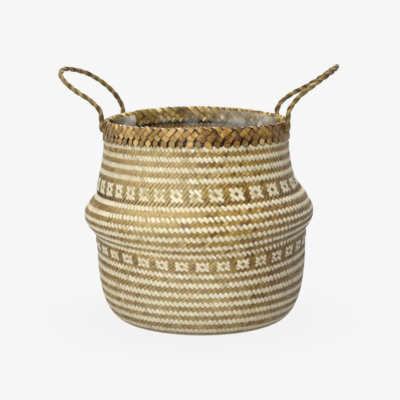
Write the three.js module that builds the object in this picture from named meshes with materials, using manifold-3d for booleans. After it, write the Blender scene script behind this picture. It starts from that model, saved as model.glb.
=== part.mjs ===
import * as THREE from 'three';
import { mergeVertices } from 'three/addons/utils/BufferGeometryUtils.js';
import Module from 'manifold-3d';

// A lidless belly basket plaited from seagrass, standing on the floor plane z = 0, +Z up.
// The plait is one continuous wall. It is divided here where the real one bends: the mat on
// the floor, the pot, the belly fold and the neck. The neck sinks into the pot when the fold
// is pressed flat, and two rope loops turn where they leave the rim.

// Outer face of the wall, in millimetres: a radius and the height at which it is reached
const FLOOR_R = 116;
const POT_R = 160;
const POT_Z = 105;
const HEEL_OUT = 30;
const HEEL_DOWN = 57;
const CREASE_R = 159.5;
const CREASE_Z = 125;
const BELLY_R = 175;
const BELLY_Z = 165;
const FOLD_TOP_R = 156;
const FOLD_TOP_Z = 200;
const NECK_R = 141;
const NECK_Z = 272;
const WALL = 3.6;

// Folded band round the mouth
const BAND_R = 140.8;
const BAND_TOP = 308;
const BAND_OUTER_Z = 284.5;
const BAND_INNER_Z = 287;
const BAND_T = 2.2;
const BAND_EDGE = 1.8;
const TEETH = 66;
const TOOTH = 2.4;

// Clear film bag that hangs inside from the band
const FILM = 0.6;
const FILM_TOP = 304;
const FILM_FLOOR_R = 98;
const FILM_CORNER = 24;
const FILM_HANG = 16;
const FILM_SLACK = 8.6;

// Rope of the handles
const ROPE_D = 7.6;
const ROPE_BEND = 7;
const KNOT_WIDE = 14;
const KNOT_DEEP = 11;
const PIVOT_RISE = 5;
const HOLE_RISE = 10;

// Play between pieces
const GAP = 0.3;

// How far the plait stands off true: the neck leans, the belly rides higher on one side, and the
// rim dips under the handles, more on the left, and rises at the back
const LEAN = 8;
const LEAN_START_Z = 95;
const LEAN_END_Z = 235;
const BELLY_TILT = 5;
const TILT_HOLD = 15;
const TILT_END_Z = 240;
const RIM_DIP = 2.65;
const RIM_DIP_LEFT = 1.15;
const RIM_RISE = 2.2;

// Facets round the wall and round the rope
const ROUND = 48;
const FILM_ROUND = 36;
const ROPE_SIDES = 8;

// Each rope loop leaves the rim at two azimuths, in degrees from the front, and lies on this route
const HANDLES = [
  {
    side: 'left',
    front: -76,
    back: -127,
    route: [
      [-143, -35, 325], [-158, -32, 341], [-178, -25, 353], [-196, -11, 366], [-205, 8, 376], [-202, 33, 382],
      [-188, 54, 379], [-170, 68, 372], [-150, 77, 359], [-133, 83, 343], [-120, 87, 324],
    ],
  },
  {
    side: 'right',
    front: 69,
    back: 119.5,
    route: [
      [137, -52, 325], [151, -50, 345], [170, -46, 360], [191, -36, 374], [206, -18, 383], [212, 7, 386],
      [205, 31, 378], [191, 48, 365], [171, 59, 351], [150, 66, 339], [132, 70, 324],
    ],
  },
];

const wasm = await Module();
wasm.setup();

const V2 = (x, y) => new THREE.Vector2(x, y);
const V3 = (x, y, z) => new THREE.Vector3(x, y, z);
const rad = THREE.MathUtils.degToRad;
const smooth = (x, from, to) => THREE.MathUtils.smoothstep(x, from, to);

// Solids

function toSolid(geometry) {
  geometry.deleteAttribute('normal');
  geometry.deleteAttribute('uv');
  const merged = mergeVertices(geometry, 1e-5);
  const triVerts = [];
  const index = merged.index.array;
  for (let i = 0; i < index.length; i += 3) {
    const [a, b, c] = [index[i], index[i + 1], index[i + 2]];
    if (a !== b && b !== c && c !== a) triVerts.push(a, b, c);
  }
  if (signedVolume(merged.attributes.position, triVerts) < 0) triVerts.reverse();
  return new wasm.Manifold(new wasm.Mesh({
    numProp: 3,
    vertProperties: Float32Array.from(merged.attributes.position.array),
    triVerts: Uint32Array.from(triVerts),
  }));
}

function signedVolume(position, triVerts) {
  const [a, b, c] = [V3(), V3(), V3()];
  let sum = 0;
  for (let i = 0; i < triVerts.length; i += 3) {
    a.fromBufferAttribute(position, triVerts[i]);
    b.fromBufferAttribute(position, triVerts[i + 1]);
    c.fromBufferAttribute(position, triVerts[i + 2]);
    sum += a.dot(b.cross(c));
  }
  return sum;
}

// The closed outline is given as radius and height, and turned about the upright axis
function revolve(outline, segments) {
  const lathe = new THREE.LatheGeometry(outline, segments);
  lathe.rotateX(Math.PI / 2);
  return lathe;
}

function tube(curve, steps, radius) {
  const circle = new THREE.Shape();
  for (let i = 0; i < ROPE_SIDES; i++) {
    const angle = (i / ROPE_SIDES) * 2 * Math.PI;
    const point = V2(radius * Math.cos(angle), radius * Math.sin(angle));
    if (i === 0) circle.moveTo(point.x, point.y);
    else circle.lineTo(point.x, point.y);
  }
  circle.closePath();
  return new THREE.ExtrudeGeometry(circle, { steps, extrudePath: curve, bevelEnabled: false });
}

// How the hand-made plait departs from a true round, as a move of each point
function settle(point) {
  const round = Math.hypot(point.x, point.y) || 1;
  const side = point.x / round;
  const back = Math.max(point.y / round, 0);
  const rising = smooth(point.z, POT_Z, BELLY_Z - TILT_HOLD);
  const lift = BELLY_TILT * rising * (1 - smooth(point.z, BELLY_Z + TILT_HOLD, TILT_END_Z));
  const rim = RIM_RISE * back ** 2 - (RIM_DIP - RIM_DIP_LEFT * side) * side ** 2;
  const x = point.x - LEAN * smooth(point.z, LEAN_START_Z, LEAN_END_Z);
  const z = point.z + (lift * point.x) / BELLY_R + rim * smooth(point.z, FOLD_TOP_Z, BAND_OUTER_Z);
  return V3(x, point.y, z);
}

const group = new THREE.Group();

function add(name, solid, colour, roughness) {
  const mesh = solid.getMesh();
  const position = new Float32Array(mesh.numVert * 3);
  for (let i = 0; i < mesh.numVert; i++) {
    const at = i * mesh.numProp;
    const [x, y, z] = mesh.vertProperties.slice(at, at + 3);
    settle(V3(x, y, z)).toArray(position, i * 3);
  }
  const geometry = new THREE.BufferGeometry();
  geometry.setAttribute('position', new THREE.BufferAttribute(position, 3));
  geometry.setIndex([...mesh.triVerts]);
  geometry.computeVertexNormals();
  const material = new THREE.MeshStandardMaterial({ color: colour, roughness, metalness: 0 });
  const node = new THREE.Mesh(geometry, material);
  node.name = name;
  group.add(node);
}

// Outline of the wall, in curves that meet smoothly everywhere but at the crease
const bezier = (a, b, c, d) => new THREE.CubicBezierCurve(a, b, c, d);
const floorEnd = V2(FLOOR_R, 0);
const potTop = V2(POT_R, POT_Z);
const crease = V2(CREASE_R, CREASE_Z);
const ridge = V2(BELLY_R, BELLY_Z);
const foldTop = V2(FOLD_TOP_R, FOLD_TOP_Z);
const neckTop = V2(NECK_R, NECK_Z);

const heel = bezier(floorEnd, V2(FLOOR_R + HEEL_OUT, 0), V2(POT_R, POT_Z - HEEL_DOWN), potTop);
const shoulder = bezier(potTop, V2(POT_R, POT_Z + 12), V2(CREASE_R + 4, CREASE_Z - 15), crease);
const underFold = bezier(crease, V2(CREASE_R + 6, CREASE_Z + 13), V2(BELLY_R, BELLY_Z - 18), ridge);
const overFold = bezier(ridge, V2(BELLY_R, BELLY_Z + 14), V2(FOLD_TOP_R + 3, FOLD_TOP_Z - 6), foldTop);
const neck = bezier(foldTop, V2(FOLD_TOP_R - 4.5, FOLD_TOP_Z + 9), V2(NECK_R, NECK_Z - 24), neckTop);

const bandInside = BAND_R - BAND_T;
const wallTop = BAND_TOP - BAND_T - BAND_EDGE - GAP;
const tucked = bandInside - GAP;
const tuck = [V2(tucked, BAND_OUTER_Z - TOOTH - GAP), V2(tucked, wallTop)];

// Points along the curves, each with the direction of the outline there; where two curves
// meet, the direction is halfway between theirs
function samples(curves, counts) {
  const points = [];
  const along = [];
  curves.forEach((curve, c) => {
    for (let i = 0; i <= counts[c]; i++) {
      const direction = curve.getTangent(i / counts[c]);
      if (c > 0 && i === 0) {
        along[along.length - 1].add(direction).normalize();
      } else {
        points.push(curve.getPoint(i / counts[c]));
        along.push(direction);
      }
    }
  });
  return { points, along };
}

// Inner face at one wall's thickness, measured square to the outline
const inward = (point, along) => V2(point.x - along.y * WALL, point.y + along.x * WALL);

// Both ends are drawn back by half the play, so that neighbours on the wall don't touch
function drawBack(points) {
  const out = points.map((point) => point.clone());
  const last = out.length - 1;
  const first = out[1].clone().sub(out[0]).normalize();
  const final = out[last - 1].clone().sub(out[last]).normalize();
  out[0].addScaledVector(first, GAP / 2);
  out[last].addScaledVector(final, GAP / 2);
  return out;
}

// The mitred ends where two zones meet are taken from the whole outline, so they match
const wallCounts = [7, 3, 5, 5, 5];
const curved = samples([heel, shoulder, underFold, overFold, neck], wallCounts);
const outline = [...curved.points, ...tuck];
const upright = V2(0, 1);
const inside = [
  ...curved.points.map((point, i) => inward(point, curved.along[i])),
  ...tuck.map((point) => inward(point, upright)),
];
const start = [0];
wallCounts.forEach((count) => start.push(start[start.length - 1] + count));

function zone(from, to) {
  const outer = drawBack(outline.slice(from, to + 1));
  const inner = drawBack(inside.slice(from, to + 1));
  return [...outer, ...inner.reverse(), outer[0]];
}

// Mat on the floor
const matEdge = FLOOR_R - GAP / 2;
const mat = [V2(0, 0), V2(matEdge, 0), V2(matEdge, WALL), V2(0, WALL)];
add('base_mat', toSolid(revolve(mat, ROUND)), 0xb08a50, 0.85);

// Pot, from the mat up to the crease
add('pot_wall', toSolid(revolve(zone(start[0], start[2]), ROUND)), 0xd8c69a, 0.85);

// Belly fold, from the crease over the ridge to the neck
add('belly_fold', toSolid(revolve(zone(start[2], start[4]), ROUND)), 0xe2d3ac, 0.85);

// Rope path of one end, in the upright plane through the hole: down the outside of the band,
// round a quarter bend and straight in through band and neck to the knot
const skirtInside = tucked - WALL - GAP;
const bandIn = skirtInside - BAND_T;
const ropeR = ROPE_D / 2;
const ropeLine = BAND_R + 2 * GAP + ropeR;
const holeZ = BAND_OUTER_Z + HOLE_RISE;
const bendTop = holeZ + ROPE_BEND;
const pivotZ = BAND_TOP + PIVOT_RISE;
const knotR = bandIn - GAP - KNOT_DEEP / 2;

const onRope = (azimuth, radius, height) => V3(radius * Math.sin(azimuth), -radius * Math.cos(azimuth), height);

function endPath(degrees) {
  const azimuth = rad(degrees);
  const at = (radius, height) => onRope(azimuth, radius, height);
  const path = new THREE.CurvePath();
  const bendEnd = at(ropeLine - ROPE_BEND, holeZ);
  path.add(new THREE.LineCurve3(at(ropeLine, pivotZ - ropeR - GAP), at(ropeLine, bendTop)));
  path.add(new THREE.QuadraticBezierCurve3(at(ropeLine, bendTop), at(ropeLine, holeZ), bendEnd));
  path.add(new THREE.LineCurve3(bendEnd, at(knotR, holeZ)));
  return { path, knot: at(knotR, holeZ), azimuth };
}

const ends = HANDLES.flatMap(({ side, front, back }) => [
  { name: `handle_${side}_front_end`, ...endPath(front) },
  { name: `handle_${side}_back_end`, ...endPath(back) },
]);

const pierced = (solid) => ends.reduce((left, { path }) => left.subtract(toSolid(tube(path, 12, ropeR + GAP))), solid);

// Knot against the inner face of the band, larger all round by a given growth
function knotBall({ knot, azimuth }, growth) {
  const ball = new THREE.SphereGeometry(0.5, 8, 6);
  ball.scale(KNOT_WIDE + 2 * growth, KNOT_DEEP + 2 * growth, KNOT_WIDE + 2 * growth);
  ball.rotateZ(azimuth);
  ball.translate(knot.x, knot.y, knot.z);
  return toSolid(ball);
}

// Neck, pierced where each rope end goes through it
add('neck_wall', pierced(toSolid(revolve(zone(start[4], outline.length - 1), ROUND))), 0xd8c69a, 0.85);

// Band, folded over the top edge of the neck, with a skirt on each side. Strips turned back
// on themselves leave the outer skirt's lower edge in teeth.
const bandOutline = [
  V2(BAND_R, BAND_OUTER_Z),
  V2(BAND_R, BAND_TOP - BAND_EDGE),
  V2((BAND_R + bandIn) / 2, BAND_TOP),
  V2(bandIn, BAND_TOP - BAND_EDGE),
  V2(bandIn, BAND_INNER_Z),
  V2(skirtInside, BAND_INNER_Z),
  V2(skirtInside, wallTop + GAP),
  V2(bandInside, wallTop + GAP),
  V2(bandInside, BAND_OUTER_Z),
  V2(BAND_R, BAND_OUTER_Z),
];
const band = revolve(bandOutline, 2 * TEETH);
const bandPosition = band.attributes.position;
for (let i = 0; i < bandPosition.count; i++) {
  const point = V3().fromBufferAttribute(bandPosition, i);
  if (Math.abs(point.z - BAND_OUTER_Z) > 0.01) continue;
  const step = Math.round((Math.atan2(point.y, point.x) / Math.PI) * TEETH);
  bandPosition.setZ(i, point.z + (step % 2 === 0 ? TOOTH : -TOOTH));
}
add('rim_band', pierced(toSolid(band)), 0xa9824c, 0.85);

// Film bag: a flat bottom on the mat, a round corner, a loose side and a mouth that spreads to the
// band. It is drawn over the knots, which push it inwards.
const filmR = skirtInside - FILM_SLACK;
const filmTopR = bandIn - GAP;
const filmFloor = WALL + GAP;
const corner = new THREE.QuadraticBezierCurve(
  V2(FILM_FLOOR_R, filmFloor),
  V2(filmR, filmFloor),
  V2(filmR, filmFloor + FILM_CORNER),
).getPoints(5);
const filmSide = [
  ...corner,
  V2(filmR, CREASE_Z),
  V2(filmR, FOLD_TOP_Z),
  V2(filmR, BAND_INNER_Z - FILM_HANG),
  V2(filmTopR, BAND_INNER_Z - GAP),
  V2(filmTopR, FILM_TOP),
];
const filmInner = filmSide.map((point) => V2(point.x - FILM, point.y));
corner.forEach((point, i) => filmInner[i].set(point.x - FILM * (i / 5), point.y + FILM * (1 - i / 5)));
const film = [V2(0, filmFloor), ...filmSide, ...filmInner.reverse(), V2(0, filmFloor + FILM)];
const mouthR = filmTopR - FILM / 2;
const mouth = [V2(0, holeZ - KNOT_WIDE), V2(mouthR, holeZ - KNOT_WIDE), V2(mouthR, FILM_TOP), V2(0, FILM_TOP)];
const mouthRoom = toSolid(revolve([...mouth, mouth[0]], FILM_ROUND));
let bag = toSolid(revolve(film, FILM_ROUND));
for (const end of ends) {
  bag = bag.add(knotBall(end, GAP + FILM).intersect(mouthRoom)).subtract(knotBall(end, GAP));
}
add('liner', pierced(bag), 0xe6eef0, 0.25);

// Rope ends, each with its knot
for (const end of ends) {
  add(end.name, toSolid(tube(end.path, 12, ropeR)).add(knotBall(end, 0)), 0xa8854b, 0.9);
}

// Loop of each handle, from pivot to pivot
for (const { side, front, back, route } of HANDLES) {
  const pivots = [front, back].map((degrees) => onRope(rad(degrees), ropeLine, pivotZ));
  const curve = new THREE.CatmullRomCurve3(
    [pivots[0], ...route.map((point) => V3(...point)), pivots[1]],
    false,
    'centripetal',
  );
  let rope = toSolid(tube(curve, 38, ropeR));
  for (const at of pivots) {
    const ball = new THREE.SphereGeometry(ropeR, ROPE_SIDES, 6);
    ball.rotateX(Math.PI / 2);
    ball.translate(at.x, at.y, at.z);
    rope = rope.add(toSolid(ball));
  }
  add(`handle_${side}_loop`, rope, 0xa8854b, 0.9);
}

export default group;
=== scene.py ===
import math

import bpy
import numpy as np
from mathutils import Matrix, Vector


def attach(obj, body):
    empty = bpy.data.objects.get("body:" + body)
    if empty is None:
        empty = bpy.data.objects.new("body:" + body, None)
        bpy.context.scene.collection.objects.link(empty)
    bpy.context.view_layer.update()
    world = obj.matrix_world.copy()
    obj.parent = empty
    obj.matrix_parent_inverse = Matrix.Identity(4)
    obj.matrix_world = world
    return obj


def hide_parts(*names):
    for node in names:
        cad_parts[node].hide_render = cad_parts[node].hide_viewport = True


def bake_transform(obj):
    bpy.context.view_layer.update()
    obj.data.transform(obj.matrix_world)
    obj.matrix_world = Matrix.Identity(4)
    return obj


# Lengths are in millimetres here, as in the CAD model, and go to metres when a mesh is made.
# Azimuths turn from the front (-Y) towards +X.
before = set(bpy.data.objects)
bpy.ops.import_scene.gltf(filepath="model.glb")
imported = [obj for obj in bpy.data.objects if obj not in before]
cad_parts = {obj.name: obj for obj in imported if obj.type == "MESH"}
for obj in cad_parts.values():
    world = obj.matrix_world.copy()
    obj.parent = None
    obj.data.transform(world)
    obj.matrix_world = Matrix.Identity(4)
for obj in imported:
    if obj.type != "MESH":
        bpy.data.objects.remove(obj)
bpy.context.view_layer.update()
MM = 0.001

# Outer face of the wall and the band, as in the CAD model
FLOOR_R, HEEL_OUT = 116, 30
POT_R, POT_Z = 160, 105
CREASE_R, CREASE_Z = 159.5, 125
BELLY_R, BELLY_Z = 175, 165
FOLD_TOP_R, FOLD_TOP_Z = 156, 200
NECK_R, NECK_Z = 141, 272
WALL_TOP_R, WALL_TOP = 138, 304
WALL = 3.6
BAND_R, BAND_TOP, BAND_IN = 140.8, 308, 132.2
BAND_OUTER_Z, BAND_INNER_Z = 284.5, 287
LEAN, LEAN_START_Z, LEAN_END_Z = 8, 95, 235
BELLY_TILT, TILT_HOLD, TILT_END_Z = 5, 15, 240
RIM_DIP, RIM_DIP_LEFT, RIM_RISE = 2.65, 1.15, 2.2
ROPE_R, ROPE_LINE, BEND = 3.8, 145.2, 7
HOLE_Z, PIVOT_Z, KNOT_R = 294.5, 313, 126.4

# Rope handles: the azimuths at which a loop leaves the rim, and its route, as in the CAD model
HANDLES = (
    ("left", -76, -127, (
        (-143, -35, 325), (-158, -32, 341), (-178, -25, 353), (-196, -11, 366), (-205, 8, 376),
        (-202, 33, 382), (-188, 54, 379), (-170, 68, 372), (-150, 77, 359), (-133, 83, 343),
        (-120, 87, 324))),
    ("right", 69, 119.5, (
        (137, -52, 325), (151, -50, 345), (170, -46, 360), (191, -36, 374), (206, -18, 383), (212, 7, 386),
        (205, 31, 378), (191, 48, 365), (171, 59, 351), (150, 66, 339), (132, 70, 324))),
)

# Each strip has a number of its own, from which its colours come. They start here.
BROWN_NUMBERS, BAND_NUMBERS, TOOTH_NUMBERS, ROPE_NUMBERS, KNOT_NUMBERS = 200, 400, 640, 700, 720
# The colours along a strip begin at a place drawn from this length
COLOUR_RUN = 100

rng = np.random.default_rng(7)


def smooth(x, low, high):
    t = np.clip((x - low) / (high - low), 0, 1)
    return t * t * (3 - 2 * t)


def settle(p):
    """How the hand-made plait departs from a true round, as in the CAD model."""
    x, y, z = p[..., 0], p[..., 1], p[..., 2]
    round_ = np.maximum(np.hypot(x, y), 1)
    side, back = x / round_, np.maximum(y / round_, 0)
    tilt = BELLY_TILT * smooth(z, POT_Z, BELLY_Z - TILT_HOLD)
    lift = tilt * (1 - smooth(z, BELLY_Z + TILT_HOLD, TILT_END_Z))
    rim = RIM_RISE * back ** 2 - (RIM_DIP - RIM_DIP_LEFT * side) * side ** 2
    x_moved = x - LEAN * smooth(z, LEAN_START_Z, LEAN_END_Z)
    return np.stack([x_moved, y, z + lift * x / BELLY_R + rim * smooth(z, FOLD_TOP_Z, BAND_OUTER_Z)], -1)


def radial(azimuth):
    return np.stack([np.sin(azimuth), -np.cos(azimuth), 0 * azimuth], -1)


# Camera, fitted to the photograph's outline, rim and star rows


def add_camera():
    data = bpy.data.cameras.new("photo_camera")
    data.lens, data.sensor_width = 117.45, 36
    data.clip_start, data.clip_end = 0.1, 100
    camera = bpy.data.objects.new("photo_camera", data)
    bpy.context.scene.collection.objects.link(camera)
    camera.location = (-0.0023, -1.9684, 0.535)
    camera.rotation_euler = (math.radians(79.8), 0, 0)
    bpy.context.scene.camera = camera


add_camera()


# Materials


def srgb(r, g, b):
    def linear(level):
        level /= 255
        return level / 12.92 if level <= 0.04045 else ((level + 0.055) / 1.055) ** 2.4
    return (linear(r), linear(g), linear(b), 1)


class Tree:
    """Short ways to put shader nodes together."""

    def __init__(self, tree):
        self.tree = tree
        tree.nodes.clear()

    def node(self, kind, **settings):
        made = self.tree.nodes.new("ShaderNode" + kind)
        for key, value in settings.items():
            setattr(made, key, value)
        return made

    def put(self, value, socket):
        if isinstance(value, bpy.types.NodeSocket):
            self.tree.links.new(value, socket)
        else:
            socket.default_value = value

    def fill(self, made, *values):
        for value, socket in zip(values, made.inputs):
            self.put(value, socket)
        return made.outputs[0]

    def math(self, operation, *values):
        return self.fill(self.node("Math", operation=operation), *values)

    def vector(self, x, y, z):
        return self.fill(self.node("CombineXYZ"), x, y, z)

    def split(self, vector):
        made = self.node("SeparateXYZ")
        self.put(vector, made.inputs[0])
        return made.outputs

    def distance(self, place, centre):
        made = self.node("VectorMath", operation="DISTANCE")
        self.fill(made, place, centre)
        return made.outputs["Value"]

    def noise(self, vector, scale, detail, rough):
        made = self.node("TexNoise")
        for value, name in zip((vector, scale, detail, rough), ("Vector", "Scale", "Detail", "Roughness")):
            self.put(value, made.inputs[name])
        return made.outputs[0]

    def map(self, value, low, high, to_low, to_high):
        made = self.node("MapRange")
        names = ("Value", "From Min", "From Max", "To Min", "To Max")
        for number, name in zip((value, low, high, to_low, to_high), names):
            self.put(number, made.inputs[name])
        return made.outputs[0]

    def ramp(self, value, stops):
        made = self.node("ValToRGB")
        elements = made.color_ramp.elements
        while len(elements) < len(stops):
            elements.new(0.5)
        for element, (at, colour) in zip(elements, stops):
            element.position = at
            element.color = colour
        return self.fill(made, value)

    def mix(self, factor, a, b, blend="MIX"):
        made = self.node("Mix", data_type="RGBA", blend_type=blend)
        self.put(factor, made.inputs["Factor"])
        self.put(a, made.inputs[6])
        self.put(b, made.inputs[7])
        return made.outputs[2]

    def multiply(self, colour, by):
        return self.mix(1.0, colour, by, "MULTIPLY")

    def choose(self, factor, a, b):
        return self.fill(self.node("MixShader"), factor, a, b)

    def bump(self, surface, height, strength, distance):
        made = self.node("Bump")
        for value, name in zip((strength, distance, height), ("Strength", "Distance", "Height")):
            self.put(value, made.inputs[name])
        self.put(made.outputs[0], surface.inputs["Normal"])

    def attribute(self, name, output="Fac"):
        return self.node("Attribute", attribute_name=name).outputs[output]

    def place(self):
        return self.node("TexCoord").outputs["Object"]

    def seen_directly(self):
        """1 for rays of the camera, and for those that gloss or glass sends on."""
        path = self.node("LightPath").outputs
        gloss = self.math("MAXIMUM", path["Is Glossy Ray"], path["Is Transmission Ray"])
        return self.math("MAXIMUM", path["Is Camera Ray"], gloss)


def new_material(name):
    material = bpy.data.materials.new(name)
    material.use_nodes = True
    t = Tree(material.node_tree)
    return material, t, t.node("OutputMaterial").inputs[0]


# The painted shade between strips is browner than the strips, and so are their inner faces
SHADE_TINT = (1.0, 0.78, 0.5)
INNER_FACE_TINT = (1.0, 0.86, 0.56)
# Radii from the axis of the leaned neck over which the band's colour turns paler and greyer towards its
# inside, as painted light and film haze on the inner skirt
SKIRT_OUT, SKIRT_IN = 0.1385, 0.1355


def seagrass(name, stops, blotch, streak, rough, edge, gap_shade=0.2, grain=3.4, blush=0.0, inside=1.0, rare=0.0,
             patches=(), inner_painted_light=None):
    """A strip of dried seagrass. The lay attribute holds the place across the strip (-1 to 1), the
    length along it in centimetres and the strip's own number. The under attribute is 1 on the face
    that is turned into the basket, which is browner. Sunk is 1 where the strip dips under others and 2
    where it is hidden for good, and there the colour is darkened as painted shade. Each patch has a
    centre, the distances at which it begins to fade and is gone, its strength and its colour; most
    patches are painted sheen, shade or shadow."""
    material, t, output = new_material(name)
    across, along, number = t.split(t.attribute("lay", "Vector"))
    own = t.math("MULTIPLY", number, 7.31)
    blotches = t.vector(own, t.math("MULTIPLY", along, blotch), t.math("MULTIPLY", across, 0.12))
    tone = t.map(t.noise(blotches, 1.0, 2.0, 0.6), 0.36, 0.64, 0.0, 1.0)
    colour = t.ramp(tone, stops)
    if rare:
        spot = t.noise(t.vector(t.math("MULTIPLY", along, 0.9), own, 9.1), 1.0, 1.0, 0.5)
        colour = t.mix(t.map(spot, rare, rare + 0.03, 0.0, 0.9), colour, srgb(52, 32, 12))
    place = t.place()
    for centre, near, far, strength, shade in patches:
        colour = t.mix(t.map(t.distance(place, centre), near, far, strength, 0.0), colour, shade)
    if inner_painted_light:
        flat = t.fill(t.node("VectorMath", operation="MULTIPLY_ADD"), place, (1, 1, 0), (LEAN * MM, 0, 0))
        radius = t.distance(flat, (0, 0, 0))
        colour = t.mix(t.map(radius, SKIRT_OUT, SKIRT_IN, 0.0, 1.0), colour, t.multiply(colour, inner_painted_light))
    if blush:
        hue = t.noise(t.vector(t.math("MULTIPLY", along, blotch * 0.6), own, 3.7), 1.0, 1.0, 0.5)
        tint = t.ramp(hue, [(0.34, (0.97, 1.0, 0.93, 1)), (0.5, (1, 1, 1, 1)), (0.66, (1.0, 0.955, 0.96, 1))])
        colour = t.mix(blush, colour, tint, "MULTIPLY")
    fibres = t.vector(t.math("MULTIPLY_ADD", across, grain, own), t.math("MULTIPLY", along, 0.5), own)
    fibre = t.noise(fibres, 1.0, 3.0, 0.65)
    streaks = t.map(fibre, 0.25, 0.75, 1 - streak, 1 + streak)
    colour = t.multiply(colour, t.vector(streaks, streaks, streaks))
    # Painted shade along the edges of each strip, where it meets its neighbours
    edges = t.map(t.math("POWER", t.math("ABSOLUTE", across), 6.0), 0.0, 1.0, 1.0, edge)
    # Painted shade, browner than the strip, where it dips under others
    sunk = t.attribute("sunk")
    shades = [t.math("MULTIPLY", edges, t.math("POWER", gap_shade * part, sunk)) for part in SHADE_TINT]
    colour = t.multiply(colour, t.vector(*shades))
    if inside < 1:
        browner = t.multiply(colour, (*(inside * part for part in INNER_FACE_TINT), 1))
        colour = t.mix(t.map(t.attribute("under"), 0.02, 0.2, 0.0, 1.0), colour, browner)
    surface = t.node("BsdfPrincipled")
    t.put(colour, surface.inputs["Base Color"])
    t.put(t.map(fibre, 0.3, 0.7, rough + 0.08, rough - 0.08), surface.inputs["Roughness"])
    surface.inputs["Specular IOR Level"].default_value = 0.28
    t.bump(surface, fibre, 0.5, 0.0006)
    t.put(surface.outputs[0], output)
    return material


# Patches in which the plait is paler, greyer or darker, as in the photograph
# Painted sheen on the brown plait at the front left
FRONT_LEFT_SHEEN = ((-0.075, -0.135, 0.22), 0.045, 0.1)
# Paler at the front of the foot
FOOT = ((-0.035, -0.15, 0.05), 0.05, 0.13)
# Painted sheen on the band at the left of the rim
RIM_LEFT_SHEEN = ((-0.09, -0.11, 0.295), 0.04, 0.1)
# Painted shadow of the belly on the pot at the lower right
LOWER_RIGHT_SHADOW = ((0.145, -0.075, 0.105), 0.055, 0.145)
# Painted light on the pale strands and painted shade on the brown ones at the two sides
LEFT_SIDE_LIGHT_AND_SHADE = ((-0.165, -0.045, 0.165), 0.055, 0.13)
RIGHT_SIDE_LIGHT_AND_SHADE = ((0.155, -0.05, 0.215), 0.05, 0.12)

PALE = seagrass(
    "pale_seagrass",
    [(0.0, srgb(206, 190, 146)), (0.25, srgb(229, 217, 179)), (0.5, srgb(240, 229, 196)),
     (0.75, srgb(233, 219, 180)), (1.0, srgb(247, 239, 214))],
    blotch=0.5, streak=0.09, rough=0.42, edge=0.8, gap_shade=0.12, blush=0.9, inside=0.8,
    patches=[(*FOOT, 0.25, srgb(251, 245, 224)), (*LEFT_SIDE_LIGHT_AND_SHADE, 0.5, srgb(251, 243, 216)),
             (*RIGHT_SIDE_LIGHT_AND_SHADE, 0.5, srgb(251, 243, 216)), (*LOWER_RIGHT_SHADOW, 0.35, srgb(208, 190, 176))])
BROWN = seagrass(
    "brown_seagrass",
    [(0.0, srgb(118, 82, 32)), (0.16, srgb(142, 104, 42)), (0.34, srgb(160, 122, 52)),
     (0.5, srgb(180, 144, 70)), (0.64, srgb(158, 132, 54)), (0.82, srgb(194, 160, 84)),
     (1.0, srgb(214, 182, 112))],
    blotch=0.6, streak=0.24, rough=0.4, edge=0.5, gap_shade=0.25, inside=0.95, rare=0.77,
    patches=[(*FRONT_LEFT_SHEEN, 0.6, srgb(218, 196, 142)), (*FOOT, 0.5, srgb(190, 172, 134)),
             (*LEFT_SIDE_LIGHT_AND_SHADE, 0.45, srgb(104, 74, 34)), (*RIGHT_SIDE_LIGHT_AND_SHADE, 0.45, srgb(104, 74, 34)),
             (*LOWER_RIGHT_SHADOW, 0.62, srgb(98, 74, 60))])
BAND = seagrass(
    "band_seagrass",
    [(0.0, srgb(120, 78, 30)), (0.22, srgb(152, 108, 42)), (0.45, srgb(190, 146, 70)),
     (0.65, srgb(170, 130, 50)), (0.82, srgb(206, 162, 88)), (1.0, srgb(228, 190, 126))],
    blotch=0.8, streak=0.36, rough=0.4, edge=0.5, gap_shade=0.15, grain=2.2,
    patches=[(*RIM_LEFT_SHEEN, 0.85, srgb(236, 198, 130))], inner_painted_light=(1.3, 1.65, 2.3, 1))
ROPE = seagrass(
    "rope_seagrass",
    [(0.0, srgb(100, 74, 36)), (0.25, srgb(134, 106, 56)), (0.5, srgb(164, 138, 80)),
     (0.75, srgb(146, 124, 66)), (1.0, srgb(188, 162, 104))],
    blotch=0.3, streak=0.34, rough=0.5, edge=0.3)
# Centre of the film's painted glare at the back right, and the distances at which it begins to fade and is
# faint
GLARE, GLARE_NEAR, GLARE_FAR = (0.045, 0.12, 0.297), 0.025, 0.075


def clear_film():
    """The fold attribute is 1 where the film lies doubled."""
    material, t, output = new_material("clear_film")
    place = t.place()
    crumple = t.noise(place, 45.0, 4.0, 0.6)
    # Painted glare: the milky film is whiter about a spot at the back right
    glare = t.map(t.distance(place, GLARE), GLARE_NEAR, GLARE_FAR, 1.0, 0.15)
    milk_and_glare = t.math("MULTIPLY", t.map(t.noise(place, 21.0, 3.0, 0.6), 0.43, 0.66, 0.0, 0.3), glare)
    doubled = t.math("MULTIPLY", t.attribute("fold"), t.map(crumple, 0.3, 0.7, 0.2, 0.44))
    surface = t.node("BsdfPrincipled")
    surface.inputs["Base Color"].default_value = srgb(226, 224, 214)
    surface.inputs["Roughness"].default_value = 0.25
    t.put(t.math("ADD", milk_and_glare, doubled), surface.inputs["Alpha"])
    t.bump(surface, crumple, 0.6, 0.002)
    t.put(surface.outputs[0], output)
    return material


FILM = clear_film()


# Meshes


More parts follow.
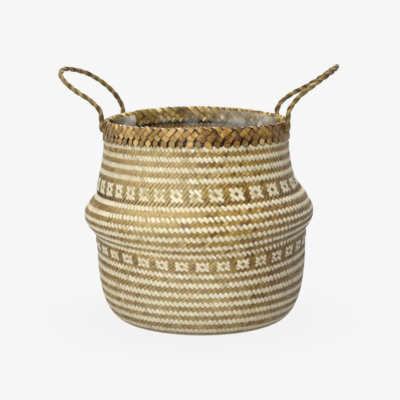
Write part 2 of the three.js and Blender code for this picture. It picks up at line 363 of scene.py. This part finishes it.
def add_mesh(name, points, faces, material, attributes=(), sharp=50):
    """faces is a list of arrays, each of faces with the same number of corners."""
    mesh = bpy.data.meshes.new(name)
    mesh.vertices.add(len(points))
    mesh.vertices.foreach_set("co", (points * MM).astype(np.float32).ravel())
    corners = np.concatenate([f.ravel() for f in faces])
    counts = np.concatenate([np.full(len(f), f.shape[1]) for f in faces])
    mesh.loops.add(len(corners))
    mesh.loops.foreach_set("vertex_index", corners.astype(np.int32))
    mesh.polygons.add(len(counts))
    mesh.polygons.foreach_set("loop_start", (np.cumsum(counts) - counts).astype(np.int32))
    mesh.update(calc_edges=True)
    mesh.validate()
    mesh.shade_smooth()
    if sharp:
        mesh.set_sharp_from_angle(angle=math.radians(sharp))
    for key, values in attributes:
        kind = "FLOAT" if values.ndim == 1 else "FLOAT_VECTOR"
        made = mesh.attributes.new(key, kind, "POINT")
        made.data.foreach_set("value" if kind == "FLOAT" else "vector", values.astype(np.float32).ravel())
    mesh.materials.append(material)
    made = bpy.data.objects.new(name, mesh)
    bpy.context.scene.collection.objects.link(made)
    return made


# Section of a flat strip, in half widths across and thicknesses up. Below UNDERSIDE is its lower face.
STRIP = np.array([(-1, -0.2), (-0.9, 0.42), (0, 0.5), (0.9, 0.42), (1, -0.2), (0, -0.45)])
UNDERSIDE = -0.3


class Bundle:
    """Strips gathered for one mesh. A strip is a row of rings along a line, with closed ends."""

    def __init__(self):
        self.points, self.lay, self.under, self.sunk = [], [], [], []
        self.quads, self.caps, self.count = [], [], 0

    def strip(self, centre, side, up, half, thick, along, number, section=STRIP, sunk=0.0):
        rings, n = len(centre), len(section)
        half, thick = np.broadcast_to(half, rings), np.broadcast_to(thick, rings)
        u, v = section[:, 0], section[:, 1]
        ring = (centre[:, None] + side[:, None] * (half[:, None] * u)[..., None]
                + up[:, None] * (thick[:, None] * v)[..., None])
        self.points.append(ring.reshape(-1, 3))
        lay = np.stack(np.broadcast_arrays(u[None], along[:, None] / 10, float(number)), -1)
        self.lay.append(lay.reshape(-1, 3))
        # On the lower face, seen from inside, the painted shade of the sunk parts is turned round
        flat = section is STRIP
        self.under.append(np.tile(np.maximum(-v, 0) * flat, rings))
        dip = np.broadcast_to(sunk, rings)[:, None] + 0 * v
        if flat:
            lower = np.where(v < UNDERSIDE, 1 - dip, np.minimum(dip, 1 - dip))
            dip = np.where((v < 0) & (dip <= 1), lower, dip)
        self.sunk.append(dip.ravel())
        i, j = np.meshgrid(np.arange(rings - 1), np.arange(n), indexing="ij")
        a, b = self.count + i * n + j, self.count + i * n + (j + 1) % n
        self.quads.append(np.stack([a, a + n, b + n, b], -1).reshape(-1, 4))
        first = self.count + np.arange(n)
        self.caps.append(first[None])
        self.caps.append((first + (rings - 1) * n)[None, ::-1])
        self.count += rings * n

    def mesh(self, name, material, sharp=50):
        faces = [np.concatenate(self.quads), np.concatenate(self.caps)]
        attributes = [(key, np.concatenate(getattr(self, key))) for key in ("lay", "under", "sunk")]
        return add_mesh(name, np.concatenate(self.points), faces, material, attributes, sharp)


def unit(v):
    return v / np.linalg.norm(v, axis=-1, keepdims=True)


def lengths(line):
    return np.concatenate([[0], np.cumsum(np.linalg.norm(np.diff(line, axis=0), axis=1))])


def resampled(line, count):
    """The same line in even steps, with the length at each point."""
    along = lengths(line)
    at = np.linspace(0, along[-1], count)
    return np.stack([np.interp(at, along, line[:, i]) for i in range(line.shape[1])], -1), at


def bezier(a, b, c, d, steps=40):
    t = np.linspace(0, 1, steps + 1)[:, None]
    a, b, c, d = map(np.array, (a, b, c, d))
    return (1 - t) ** 3 * a + 3 * (1 - t) ** 2 * t * b + 3 * (1 - t) * t * t * c + t ** 3 * d


# The wall's outline, from the edge of the floor to the top under the band


def wall_outline():
    """What is added to a size here is the reach of a curve's handle, as in the CAD model."""
    floor, pot, crease = (FLOOR_R, 0), (POT_R, POT_Z), (CREASE_R, CREASE_Z)
    belly, fold_top, neck = (BELLY_R, BELLY_Z), (FOLD_TOP_R, FOLD_TOP_Z), (NECK_R, NECK_Z)
    under_band = (WALL_TOP_R, NECK_Z + 16)
    curves = [
        bezier(floor, (FLOOR_R + HEEL_OUT, 0), (POT_R, POT_Z - 57), pot),
        bezier(pot, (POT_R, POT_Z + 12), (CREASE_R + 4, CREASE_Z - 15), crease),
        bezier(crease, (CREASE_R + 6, CREASE_Z + 13), (BELLY_R, BELLY_Z - 18), belly),
        bezier(belly, (BELLY_R, BELLY_Z + 14), (FOLD_TOP_R + 3, FOLD_TOP_Z - 6), fold_top),
        bezier(fold_top, (FOLD_TOP_R - 4.5, FOLD_TOP_Z + 9), (NECK_R, NECK_Z - 24), neck),
        bezier(neck, (NECK_R, NECK_Z + 6), (WALL_TOP_R, NECK_Z + 8), under_band),
        bezier(under_band, (WALL_TOP_R, NECK_Z + 20), (WALL_TOP_R, WALL_TOP - 4), (WALL_TOP_R, WALL_TOP)),
    ]
    line, at = resampled(np.concatenate([curves[0], *(curve[1:] for curve in curves[1:])]), 700)
    run = unit(np.gradient(line, axis=0))
    return at, line, np.stack([run[:, 1], -run[:, 0]], -1)


ARC, LINE, OUT = wall_outline()

# The crease and the rows near it climb towards the two sides. The ridge sits a little to the right
# at its top, and is fuller at the lower right.
SADDLE, SADDLE_TILT, SADDLE_BELOW, SADDLE_ABOVE = 11, 3, (40, 112), (132, 178)
RIDGE_SHIFT, RIDGE_SHIFT_Z, RIDGE_SHIFT_SPREAD = 4, 196, 9
FULLNESS, FULLNESS_Z, FULLNESS_SPREAD = 5, 135, 13


def uneven(p):
    side = p[..., 0] / np.maximum(np.hypot(p[..., 0], p[..., 1]), 1)
    z = p[..., 2]
    climb = (SADDLE + SADDLE_TILT * side) * side ** 2
    climb = climb * smooth(z, *SADDLE_BELOW) * (1 - smooth(z, *SADDLE_ABOVE))
    shift = RIDGE_SHIFT * np.exp(-((z - RIDGE_SHIFT_Z) / RIDGE_SHIFT_SPREAD) ** 2)
    fuller = FULLNESS * np.maximum(side, 0) ** 2 * np.exp(-((z - FULLNESS_Z) / FULLNESS_SPREAD) ** 2)
    return p + np.stack([shift + fuller, 0 * z, climb], -1)


def proud_of(outline, azimuth, arc, proud):
    """Points in front of an outline (negative behind it), and its outward directions there."""
    arcs, line, out = outline
    r, z, out_r, out_z = (np.interp(arc, arcs, values) for values in (*line.T, *out.T))
    point = radial(azimuth) * (r + proud * out_r)[..., None]
    point[..., 2] = z + proud * out_z
    up = radial(azimuth) * out_r[..., None]
    up[..., 2] = out_z
    return point, up


# The plait: strands PALE go down to the right and BROWN down to the left, 132 each. A cell (m, k)
# is where two cross: k counts rows downwards from the middle of the upper stars, and m counts half
# steps of azimuth.
STRANDS = 132
HALF_STEP = math.pi / STRANDS
TURNED = math.radians(-2.35)
LOWER_STARS, LOWER_STARS_TURN, STAR_STEP = 31, 3, 8
# Heights of rows at the front, as in the photograph
ROW_HEIGHTS = {
    -17.5: 278.4, -13.5: 263.6, -9.5: 248.7, -5.5: 233.7, 0: 213.4, 5.5: 195.8, 9.5: 182.3, 13.5: 168.8,
    17.5: 153.9, 21.5: 138.6, 25.5: 126.7, 31: 112.1, 36.5: 97.7, 40.5: 84.1, 44.5: 68.9, 48.5: 55.5,
    52.5: 40.9, 56.5: 26.9, 60.5: 11.3,
}
# The top row and its height, the row above which the band hides all, and the row at the floor's edge
TOP_ROW, TOP_Z, HIDDEN_ROW, EDGE_ROW = -24, 301.5, -18.4, 67
# The base: its rings of cells, the distance between strands, and how far they run on over its middle
RINGS, PITCH, RUN_ON = 33, 4.18, 0.7
# How far the plait is drawn round: in the neck, how much that varies round it, in the pot and at its foot
NECK_SWAY, NECK_SWAY_SWING = math.radians(6.4), math.radians(4.5)
POT_SWAY, FOOT_SWAY = math.radians(-1.1), math.radians(-1.3)


def row_arcs():
    rows = np.array([TOP_ROW, *ROW_HEIGHTS, EDGE_ROW], float)
    heights = np.array([TOP_Z, *ROW_HEIGHTS.values(), 0])
    arcs = np.interp(heights, LINE[:, 1], ARC)
    return rows, arcs, np.gradient(arcs, rows)


ROWS, ROW_ARCS, ROW_SLOPES = row_arcs()


def arc_of(k):
    """Smooth curve through the measured rows."""
    k = np.clip(k, ROWS[0], ROWS[-1])
    i = np.clip(np.searchsorted(ROWS, k, side="right") - 1, 0, len(ROWS) - 2)
    step = ROWS[i + 1] - ROWS[i]
    t = (k - ROWS[i]) / step
    return ((2 * t ** 3 - 3 * t * t + 1) * ROW_ARCS[i] + (t ** 3 - 2 * t * t + t) * step * ROW_SLOPES[i]
            + (3 * t * t - 2 * t ** 3) * ROW_ARCS[i + 1] + (t ** 3 - t * t) * step * ROW_SLOPES[i + 1])


def sway(azimuth, k):
    """How far the plait is drawn round, and how that grows with the azimuth."""
    neck = NECK_SWAY - NECK_SWAY_SWING * np.cos(2 * azimuth)
    neck_slope = 2 * NECK_SWAY_SWING * np.sin(2 * azimuth)
    fade = FOOT_SWAY * (1 - smooth(k, 40, 62))
    share = 1 - smooth(k, 3, 26)
    drawn = share * neck + (1 - share) * (POT_SWAY + fade * np.sin(azimuth))
    return drawn, share * neck_slope + (1 - share) * fade * np.cos(azimuth)


def pale_on_top(m, k):
    """The pattern: stripes of two rows, and two rows of stars."""
    upper = np.abs(k) <= np.abs(k - LOWER_STARS)
    d = np.where(upper, np.abs(k), np.abs(k - LOWER_STARS))
    half = STAR_STEP // 2
    a = np.abs((m - np.where(upper, 0, LOWER_STARS_TURN) + half) % STAR_STEP - half)
    star = ((d == 2) & ((a == 0) | (a == 2))) | ((d == 1) & (a == 1)) | ((d == 0) & (a == 2))
    return np.where(d >= 5, (d - 1) % 4 < 2, star)


def on_base(quarter, a, b, proud):
    """Point of the base mat. a and b count strands from the middle along the quarter's two edges."""
    s = a + b
    start = quarter * math.pi / 2 + TURNED + POT_SWAY
    round_ = radial(start + math.pi / 2 * b / np.maximum(s, 1e-6)) * (s * FLOOR_R / RINGS)[..., None]
    along_a, along_b = radial(start + 0 * a), radial(start + math.pi / 2 + 0 * a)
    square = PITCH * (a[..., None] * along_a + b[..., None] * along_b)
    share = smooth(s, 4, RINGS)[..., None]
    point = square * (1 - share) + round_ * share
    point[..., 2] = -proud
    up = np.zeros_like(point)
    up[..., 2] = -1
    return point, up


# A strand has three points to each row. It rides out and in of the wall's middle, and is tucked in
# under the band.
THIRDS = np.array([-1, 0, 1]) / 3
MIDDLE, RIDE, TUCK = -WALL / 2, 0.85, 1.2
THICK = 1.25
PALE_WIDTH, BROWN_WIDTH, BASE_WIDTH = 1.05, 0.93, 0.98
# Rows at which a strand's roll is drawn, and how far its pieces run into each other, in rows
ROLL_MARKS = np.arange(-30, 110, 4)
PIECE_OVERLAP = 0.2


def rows_of(whole):
    return (whole[:, None] + THIRDS).ravel()


def wave(on_top):
    """Depth of a strand at three points to a row, from whether it lies on top at each row."""
    sign = np.where(on_top, 1.0, -1.0)
    before, after = np.roll(sign, 1), np.roll(sign, -1)
    before[0], after[-1] = sign[0], sign[-1]
    low = np.where(before == sign, 1.05, 0.62) * sign
    high = np.where(after == sign, 1.05, 0.62) * sign
    return np.stack([low, sign, high], -1).ravel()


def directions(point, up):
    """Directions along, across and out of a line whose outward directions are roughly known."""
    run = unit(np.gradient(point, axis=0))
    up = unit(up - run * np.sum(up * run, -1, keepdims=True))
    return np.cross(run, up), up


def strand(hand, index):
    """Centre line, direction across, outward direction, half width, row numbers and shade of a strand."""
    at_edge = hand * EDGE_ROW + 2 * index
    quarter, place = divmod(at_edge % (2 * STRANDS), 2 * STRANDS // 4)
    held = place / 2 if hand > 0 else RINGS - place / 2
    last = EDGE_ROW + RINGS - held + RUN_ON
    whole = np.arange(TOP_ROW, math.ceil(last))
    rows, depth = rows_of(whole), wave(pale_on_top(hand * whole + 2 * index, whole) == (hand > 0))
    keep = rows <= last + 1e-6
    rows, depth = rows[keep], depth[keep]
    marks = np.arange(TOP_ROW - 2, last + 4, 3)
    drift = np.interp(rows, marks, rng.normal(0, 0.07, len(marks)))
    proud = MIDDLE + RIDE * depth - TUCK * (1 - smooth(rows, HIDDEN_ROW - 1, HIDDEN_ROW + 1.5))
    wall = rows <= EDGE_ROW
    azimuth = (hand * rows[wall] + 2 * index + drift[wall]) * HALF_STEP + TURNED
    drawn, slope = sway(azimuth, rows[wall])
    point, up = proud_of((ARC, LINE, OUT), azimuth + drawn, arc_of(rows[wall]), proud[wall])
    s = EDGE_ROW + RINGS - rows[~wall]
    a, b = (s - held, held + 0 * s) if hand > 0 else (held + 0 * s, s - held)
    base, base_up = on_base(quarter, a, b, proud[~wall])
    point = np.concatenate([settle(uneven(point)), base])
    side, up = directions(point, np.concatenate([up, base_up]))
    across = np.hypot(point[:, 0], point[:, 1]) * HALF_STEP
    across[wall] *= 1 + slope
    down = np.abs(np.gradient(arc_of(rows), rows))
    width = np.where(wall, 2 * across * down / np.hypot(across, np.maximum(down, 1e-3)), PITCH * BASE_WIDTH)
    # Painted shade where the strand dips under others, and a near-black painted shadow where the band hides
    # it
    sunk = np.where(rows < HIDDEN_ROW, 2, 1 - smooth(depth, -0.85, 0.4))
    return point, side, up, width / 2, rows, sunk


def add_plait():
    """Each strand is cut into pieces where it lies under others: at the fold, the pot and the base."""
    zones = ["neck", "fold", "pot", "base"]
    for hand, colour, material, cuts, width, numbers in (
        (1, "pale", PALE, (3.5, 27.5, 62.5), PALE_WIDTH, 0),
        (-1, "brown", BROWN, (5.5, 25.5, 60.5), BROWN_WIDTH, BROWN_NUMBERS),
    ):
        bundles = [Bundle() for _ in zones]
        edges = (-99, *cuts, 999)
        for index in range(STRANDS):
            point, side, up, half, rows, sunk = strand(hand, index)
            along = lengths(point) + COLOUR_RUN * rng.random()
            wide = half * width * (1 + 0.05 * rng.standard_normal())
            roll = np.interp(rows, ROLL_MARKS, rng.normal(0, 0.06, len(ROLL_MARKS)))[:, None]
            across = unit(side + up * roll)
            face = unit(up - side * roll)
            for zone, bundle in enumerate(bundles):
                low, high = edges[zone] - PIECE_OVERLAP, edges[zone + 1] + PIECE_OVERLAP
                part = np.flatnonzero((rows >= low) & (rows <= high))
                if len(part) > 1:
                    bundle.strip(point[part], across[part], face[part], wide[part], THICK, along[part],
                                 index + numbers, sunk=sunk[part])
        for zone, bundle in zip(zones, bundles):
            piece = bundle.mesh(f"{zone}_{colour}_strands", material)
            if zone == "fold":
                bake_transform(piece)
                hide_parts("belly_fold")
            else:
                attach(piece, "neck" if zone == "neck" else "pot")
                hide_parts({"neck": "neck_wall", "pot": "pot_wall", "base": "base_mat"}[zone])


add_plait()


# Band folded over the rim: broad strips in two directions, over the top edge from inside to outside
BAND_STRIPS = 66
BAND_STEP = math.pi / BAND_STRIPS
BAND_THICK, BAND_HALF, BAND_LIFT, BAND_RIDE = 1.3, 4.0, 0.15, 0.65
# Strips to the right of this azimuth are darkened by a random amount, as painted shade on the band's right
# side, and fully so from the second on
BAND_RIGHT_PAINTED_SHADE, SHADE_FROM, SHADE_TO = 0.45, 0.05, 0.5
TIP_Z, TIP_ROW, EDGE_OF_TOP = 279, 9.9, 4.3
# Whether the falling strips lie on top in each row, apart from row MIXED, where every other one does
BAND_PATTERN = np.array([1, 0, 1, 1, 1, 0, 0, 1, 1])
MIXED, LAST_ROW = 5, 7.8
# Rows at which a strip's drift and tilt are drawn
BAND_MARKS = [0, 3, 6, 9.5]
# Row, half width and lift of a tooth, which is the turned-in end of a rising strip
TOOTH = (
    (7.2, 0.5, -0.9), (7.9, 2.9, 0.1), (8.55, 5.9, 0.8), (9.1, 4.1, 1.2), (9.5, 2.2, 1.4), (9.9, 0.2, 1.4),
)


def band_outline():
    inset = 1.2
    mid_out, mid_in, top = BAND_R - inset, BAND_IN + inset, BAND_TOP - inset
    bend = (mid_out - mid_in) / 2
    turn = np.linspace(0, math.pi, 25)
    arc = np.stack([(mid_out + mid_in) / 2 - bend * np.cos(turn), top - bend + bend * np.sin(turn)], -1)
    line, at = resampled(np.concatenate([[(mid_in, BAND_INNER_Z)], arc, [(mid_out, TIP_Z)]]), 240)
    run = unit(np.gradient(line, axis=0))
    return at, line, np.stack([-run[:, 1], run[:, 0]], -1)


BAND_LINE = band_outline()


def band_strip(bundle, turn, rows, lift, half, tilt, number, sunk):
    """turn counts half steps of azimuth, and rows go down from the inner edge, over the top."""
    azimuth = turn * BAND_STEP + TURNED
    drawn, slope = sway(azimuth, TOP_ROW)
    azimuth = azimuth + drawn
    point, up = proud_of(BAND_LINE, azimuth, rows / TIP_ROW * BAND_LINE[0][-1], lift)
    point = settle(point)
    side, up = directions(point, up)
    tilt = tilt[:, None]
    # Painted shade on strips right of the front, by a random amount
    shaded = sunk + BAND_RIGHT_PAINTED_SHADE * smooth(azimuth, SHADE_FROM, SHADE_TO) * rng.random()
    bundle.strip(point, unit(side + up * tilt), unit(up - side * tilt), half * (1 + 0.7 * slope), BAND_THICK,
                 lengths(point) + COLOUR_RUN * rng.random(), number, sunk=shaded)


def add_band_strips(bundle, hand):
    whole = np.arange(len(BAND_PATTERN))
    for index in range(BAND_STRIPS):
        crossing = hand * whole + 2 * index
        falling = (BAND_PATTERN == 1) | ((whole == MIXED) & (crossing // 2 % 2 == 0))
        rows, depth = rows_of(whole), wave(falling == (hand > 0))
        keep = (rows >= 0) & (rows <= LAST_ROW)
        rows, depth = rows[keep], depth[keep]
        turn = hand * rows + 2 * index + np.interp(rows, BAND_MARKS, rng.normal(0, 0.15, 4))
        over_top = rows - EDGE_OF_TOP
        lift = BAND_LIFT + BAND_RIDE * depth + rng.normal(0, 0.45) * np.exp(-(over_top / 1.2) ** 2)
        half = BAND_HALF * (1 + 0.08 * rng.standard_normal()) * (1 - 0.4 * np.exp(-(over_top / 0.5) ** 2))
        tilt = np.interp(rows, BAND_MARKS, rng.normal(0, 0.1, 4))
        # Painted shade where a strip dips under others, lighter on the inner skirt
        sunk = (0.9 - 0.45 * (rows < EDGE_OF_TOP)) * (1 - smooth(depth, -0.8, 0.6))
        band_strip(bundle, turn, rows, lift, half, tilt, index + BAND_NUMBERS + 100 * hand, sunk)


def add_teeth(bundle):
    rows = np.linspace(TOOTH[0][0], TOOTH[-1][0], 12)
    at, halves, lifts = (np.array(values) for values in zip(*TOOTH))
    for index in range(BAND_STRIPS):
        to_right = math.sin((2 * index + 9) * BAND_STEP + TURNED)
        lean = 0.22 + 0.3 * to_right + 0.2 * rng.standard_normal()
        turn = 2 * index + 8.6 + 0.12 * rng.standard_normal() + lean * (rows - 8.5)
        half = np.interp(rows, at, halves) * (1 + 0.12 * rng.standard_normal())
        lift = np.interp(rows, at, lifts) + 0.25 * rng.standard_normal()
        tilt = 0.12 * rng.standard_normal() + 0 * rows
        # Painted shade on the tooth's end where it turns in under the band
        sunk = 0.9 * (1 - smooth(rows, 7.3, 8.1))
        band_strip(bundle, turn, rows, lift, half, tilt, index + TOOTH_NUMBERS, sunk)


def add_band():
    for hand, name in ((1, "rim_band_falling"), (-1, "rim_band_rising")):
        bundle = Bundle()
        add_band_strips(bundle, hand)
        if hand < 0:
            add_teeth(bundle)
        piece = bundle.mesh(name, BAND)
        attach(piece, "neck")
        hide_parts("rim_band")


add_band()


# Film bag, hung under the band's inside skirt. It lies doubled at the flaps, from one azimuth to another,
# and bulges over the knots of the ropes.
FILM_R, FILM_TOP_R, FILM_TOP, FILM_FLOOR_R, FILM_FLOOR_Z = 125.8, 131.4, 304, 98, 4.2
FILM_THICK, FILM_AROUND = 0.15, 480
# Waves round the film: their number, phase and depth
WRINKLES = ((7, 0.4, 1.0), (13, 1.9, 0.7), (23, 4.0, 0.5))
FLAPS = ((-109, -131), (109, 131))
KNOT_BULGE, KNOT_BULGE_SPREAD = 12, 84


def film_outline():
    corner = bezier((FILM_FLOOR_R, FILM_FLOOR_Z), (116, FILM_FLOOR_Z), (FILM_R, 14), (FILM_R, 28), 8)
    upper = bezier((FILM_R, 281), (FILM_R + 1, 287), (FILM_TOP_R, 289), (FILM_TOP_R, 295), 9)
    floor = [(r, FILM_FLOOR_Z) for r in (0.01, 35, 70)]
    side = [(FILM_R, z) for z in (60, 95, 128, 165, 200, 225, 250, 268, 279)]
    top = [(FILM_TOP_R, z) for z in (297.5, 300, FILM_TOP)]
    return np.concatenate([floor, corner, side, upper, top])


def film_folds(turned):
    """How far the film is folded at each azimuth, in degrees: 0, or 0.45 to 1 in a flap."""
    fold = np.zeros(len(turned))
    for inner, outer in FLAPS:
        fold += np.clip((turned - inner) / (outer - inner), 0, 1) * (np.abs(turned) <= abs(outer))
    return np.where(fold > 0, 0.45 + 0.55 * fold, 0)


def add_film():
    outline = film_outline()
    azimuth = np.arange(FILM_AROUND) * 2 * math.pi / FILM_AROUND
    turned = (np.degrees(azimuth) + 180) % 360 - 180
    fold = film_folds(turned)
    r, z = outline[:, 0][:, None], outline[:, 1][:, None]
    wrinkle = sum(np.sin(n * azimuth + phase) * size for n, phase, size in WRINKLES)
    slack = smooth(z, 20, 90) * (1 - smooth(z, 262, 288))
    radius = r + slack * (wrinkle - 2.0)[None] * 0.9 - fold[None] * 1.2 * smooth(z, 240, 280)
    for _, *roots, _ in HANDLES:
        for root in roots:
            beside = FILM_TOP_R * np.radians(turned - root)[None]
            radius = radius - KNOT_BULGE * np.exp(-(beside ** 2 + (z - HOLE_Z) ** 2) / KNOT_BULGE_SPREAD)
    points = []
    for thick in (0, FILM_THICK):
        p = np.stack([(radius - thick) * np.sin(azimuth), -(radius - thick) * np.cos(azimuth),
                      z + thick * (z < 5) + 0 * azimuth], -1)
        points.append(settle(p).reshape(-1, 3))
    rings, around = len(outline), np.arange(FILM_AROUND)
    total = rings * FILM_AROUND
    i, j = np.meshgrid(np.arange(rings - 1), around, indexing="ij")
    a, b = i * FILM_AROUND + j, i * FILM_AROUND + (j + 1) % FILM_AROUND
    outer = np.stack([a, b, b + FILM_AROUND, a + FILM_AROUND], -1).reshape(-1, 4)
    rim = total - FILM_AROUND + around
    next_ = total - FILM_AROUND + (around + 1) % FILM_AROUND
    edge = np.stack([rim, next_, next_ + total, rim + total], -1)
    faces = [np.concatenate([outer, outer[:, ::-1] + total, edge]), around[None, ::-1], around[None] + total]
    doubled = np.tile((fold[None] * smooth(z, 255, 266)).ravel(), 2)
    piece = add_mesh("film_bag", np.concatenate(points), faces, FILM, [("fold", doubled)], sharp=0)
    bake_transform(piece)
    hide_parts("liner")


add_film()


# Rope handles
ROPE_STEP, LAY_LENGTH = 1.3, 29
# The rope is thicker within the first distance of its ends, and as thin as elsewhere at the second
ROOT_THICK, ROOT_THIN = 15, 45
PLY_OFF, PLY_HALF, PLY_THICK = 1.45, 2.85, 2.35
KNOT_SIZE, KNOT_ROPE_R = 6.2, 2.1
ROUND = np.array([(math.cos(a), math.sin(a)) for a in np.linspace(0, 2 * math.pi, 14, endpoint=False)])
UP = np.array([0, 0, 1.0])


def catmull(points, per=12):
    """Centripetal curve through the points."""
    ends = [2 * points[0] - points[1], *points, 2 * points[-1] - points[-2]]
    line = []
    for i in range(len(points) - 1):
        x0, x1, x2, x3 = ends[i:i + 4]
        d0, d1, d2 = (math.sqrt(np.linalg.norm(q - p)) for p, q in ((x0, x1), (x1, x2), (x2, x3)))
        t1 = ((x1 - x0) / d0 - (x2 - x0) / (d0 + d1) + (x2 - x1) / d1) * d1
        t2 = ((x2 - x1) / d1 - (x3 - x1) / (d1 + d2) + (x3 - x2) / d2) * d1
        t = np.arange(per)[:, None] / per
        line.append(x1 + t1 * t + (3 * (x2 - x1) - 2 * t1 - t2) * t ** 2 + (2 * (x1 - x2) + t1 + t2) * t ** 3)
    return np.concatenate([*line, [points[-1]]])


def leg(azimuth):
    """One end of the rope, from the knot out through the band and up to just under the pivot."""
    t = np.linspace(0, 1, 7)
    radius = np.concatenate([[KNOT_R], ROPE_LINE - BEND * (1 - t) ** 2, [ROPE_LINE]])
    height = np.concatenate([[HOLE_Z], HOLE_Z + BEND * t ** 2, [HOLE_Z + BEND + 5]])
    return radial(azimuth + 0 * radius) * radius[:, None] + UP * height[:, None]


def frames(line):
    """Directions square to a line, carried along it without twist."""
    run = unit(np.gradient(line, axis=0))
    side = np.zeros_like(run)
    side[0] = unit(np.cross(run[0], UP))
    for i in range(1, len(run)):
        side[i] = unit(side[i - 1] - run[i] * (side[i - 1] @ run[i]))
    return run, side, np.cross(run, side)


def laid_rope(bundle, line, number):
    """Two plies laid round each other, each flattened against its neighbour and thicker near the rim."""
    line, at = resampled(line, int(lengths(line)[-1] / ROPE_STEP))
    run, side, up = frames(line)
    turn = 2 * math.pi * at / LAY_LENGTH
    middle = at[-1] / 2
    root = smooth(np.abs(at - middle), middle - ROOT_THIN, middle - ROOT_THICK)
    for ply in range(2):
        angle = (turn + ply * math.pi)[:, None]
        towards = side * np.cos(angle) + up * np.sin(angle)
        swell = 1 + 0.05 * np.sin(at / 9 + number + ply * 2) + 0.1 * root
        bundle.strip(line + towards * PLY_OFF, np.cross(run, towards), towards, PLY_HALF * swell,
                     PLY_THICK * swell, at + 137 * ply, number + ply, section=ROUND)


def knot_line(centre, out):
    """An overhand knot as a closed curve."""
    t = np.linspace(0, 2 * math.pi, 70)
    across = np.cross(out, UP)
    x = (np.sin(t) + 2 * np.sin(2 * t)) / 3
    y = (np.cos(t) - 2 * np.cos(2 * t)) / 3
    wide, deep = KNOT_SIZE * 0.62, KNOT_SIZE * 0.34
    sideways = across * (x * wide)[:, None] + UP * (y * wide)[:, None]
    return centre + sideways - out * (np.sin(3 * t) * deep)[:, None]


def add_handle(name, front, back, route):
    roots = [math.radians(front), math.radians(back)]
    pivots = [radial(np.array(a)) * ROPE_LINE + (0, 0, PIVOT_Z) for a in roots]
    loop = catmull([pivots[0], *map(np.array, route), pivots[1]])
    line = settle(np.concatenate([leg(roots[0]), loop, leg(roots[1])[::-1]]))
    rope = Bundle()
    laid_rope(rope, line, ROPE_NUMBERS + front)
    piece = rope.mesh(f"handle_{name}_rope", ROPE, sharp=70)
    knots = Bundle()
    for number, azimuth in enumerate(roots):
        out = radial(np.array(azimuth))
        coil = knot_line(settle(out * (KNOT_R - 0.5) + (0, 0, HOLE_Z)), out)
        _, side, up = frames(coil)
        knots.strip(coil, side, up, KNOT_ROPE_R, KNOT_ROPE_R, lengths(coil), KNOT_NUMBERS + number,
                    section=ROUND)
    knot = knots.mesh(f"handle_{name}_knots", ROPE, sharp=70)
    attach(knot, "neck")
    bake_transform(piece)
    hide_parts(f"handle_{name}_loop", f"handle_{name}_front_end", f"handle_{name}_back_end")


for handle in HANDLES:
    add_handle(*handle)


# Floor, world and lamps
BACKGROUND = 0.9216
FLOOR_GREY, FLOOR_HALF, FLOOR_Z = 0.52, 3, -0.0005
# The floor's shadow is seen up to the first distance from the axis, and has faded at the second
SHADOW_NEAR, SHADOW_FAR, SHADOW_SHARE = 0.15, 0.3, 0.05
LAMPS_AIM = Vector((0, 0, 0.16))


def add_floor():
    material, t, output = new_material("floor_paper")
    near = t.map(t.distance(t.place(), (0, 0, 0)), SHADOW_NEAR, SHADOW_FAR, SHADOW_SHARE, 0.0)
    matt = t.node("BsdfDiffuse")
    matt.inputs["Color"].default_value = (FLOOR_GREY, FLOOR_GREY, FLOOR_GREY, 1)
    plain = t.node("Emission")
    plain.inputs["Color"].default_value = (BACKGROUND, BACKGROUND, BACKGROUND, 1)
    seen = t.choose(near, plain.outputs[0], matt.outputs[0])
    t.put(t.choose(t.seen_directly(), matt.outputs[0], seen), output)
    mesh = bpy.data.meshes.new("floor")
    corners = [(x * FLOOR_HALF, y * FLOOR_HALF, 0) for x, y in ((-1, -1), (1, -1), (1, 1), (-1, 1))]
    mesh.from_pydata(corners, [], [(0, 1, 2, 3)])
    mesh.materials.append(material)
    made = bpy.data.objects.new("floor", mesh)
    bpy.context.scene.collection.objects.link(made)
    made.location.z = FLOOR_Z


def add_world():
    """Light that is a little stronger from the left, behind a plain background."""
    world = bpy.data.worlds.new("studio")
    bpy.context.scene.world = world
    world.use_nodes = True
    t = Tree(world.node_tree)
    output = t.node("OutputWorld")
    light, back = t.node("Background"), t.node("Background")
    to_right = t.split(t.node("TexCoord").outputs["Generated"])[0]
    light.inputs["Color"].default_value = (1, 1, 1, 1)
    t.put(t.map(to_right, -1.0, 1.0, 0.115, 0.09), light.inputs["Strength"])
    back.inputs["Color"].default_value = (1, 1, 1, 1)
    back.inputs["Strength"].default_value = BACKGROUND
    t.put(t.choose(t.seen_directly(), light.outputs[0], back.outputs[0]), output.inputs[0])


def add_lamp(name, place, size, power):
    data = bpy.data.lights.new(name, "AREA")
    data.shape, data.size, data.energy = "DISK", size, power
    lamp = bpy.data.objects.new(name, data)
    bpy.context.scene.collection.objects.link(lamp)
    lamp.location = place
    lamp.rotation_euler = (LAMPS_AIM - Vector(place)).to_track_quat("-Z", "Y").to_euler()


add_floor()
add_world()
add_lamp("key_lamp", (-1.9, -1.8, 0.8), 0.9, 3.5)
add_lamp("front_lamp", (-0.42, -2.6, 1.15), 1.4, 47)
add_lamp("top_lamp", (-0.1, 0.2, 2.4), 1.2, 42)
add_lamp("back_lamp", (0.3, 2.6, 1.2), 1.6, 26)
bpy.context.scene.view_settings.view_transform = "Standard"
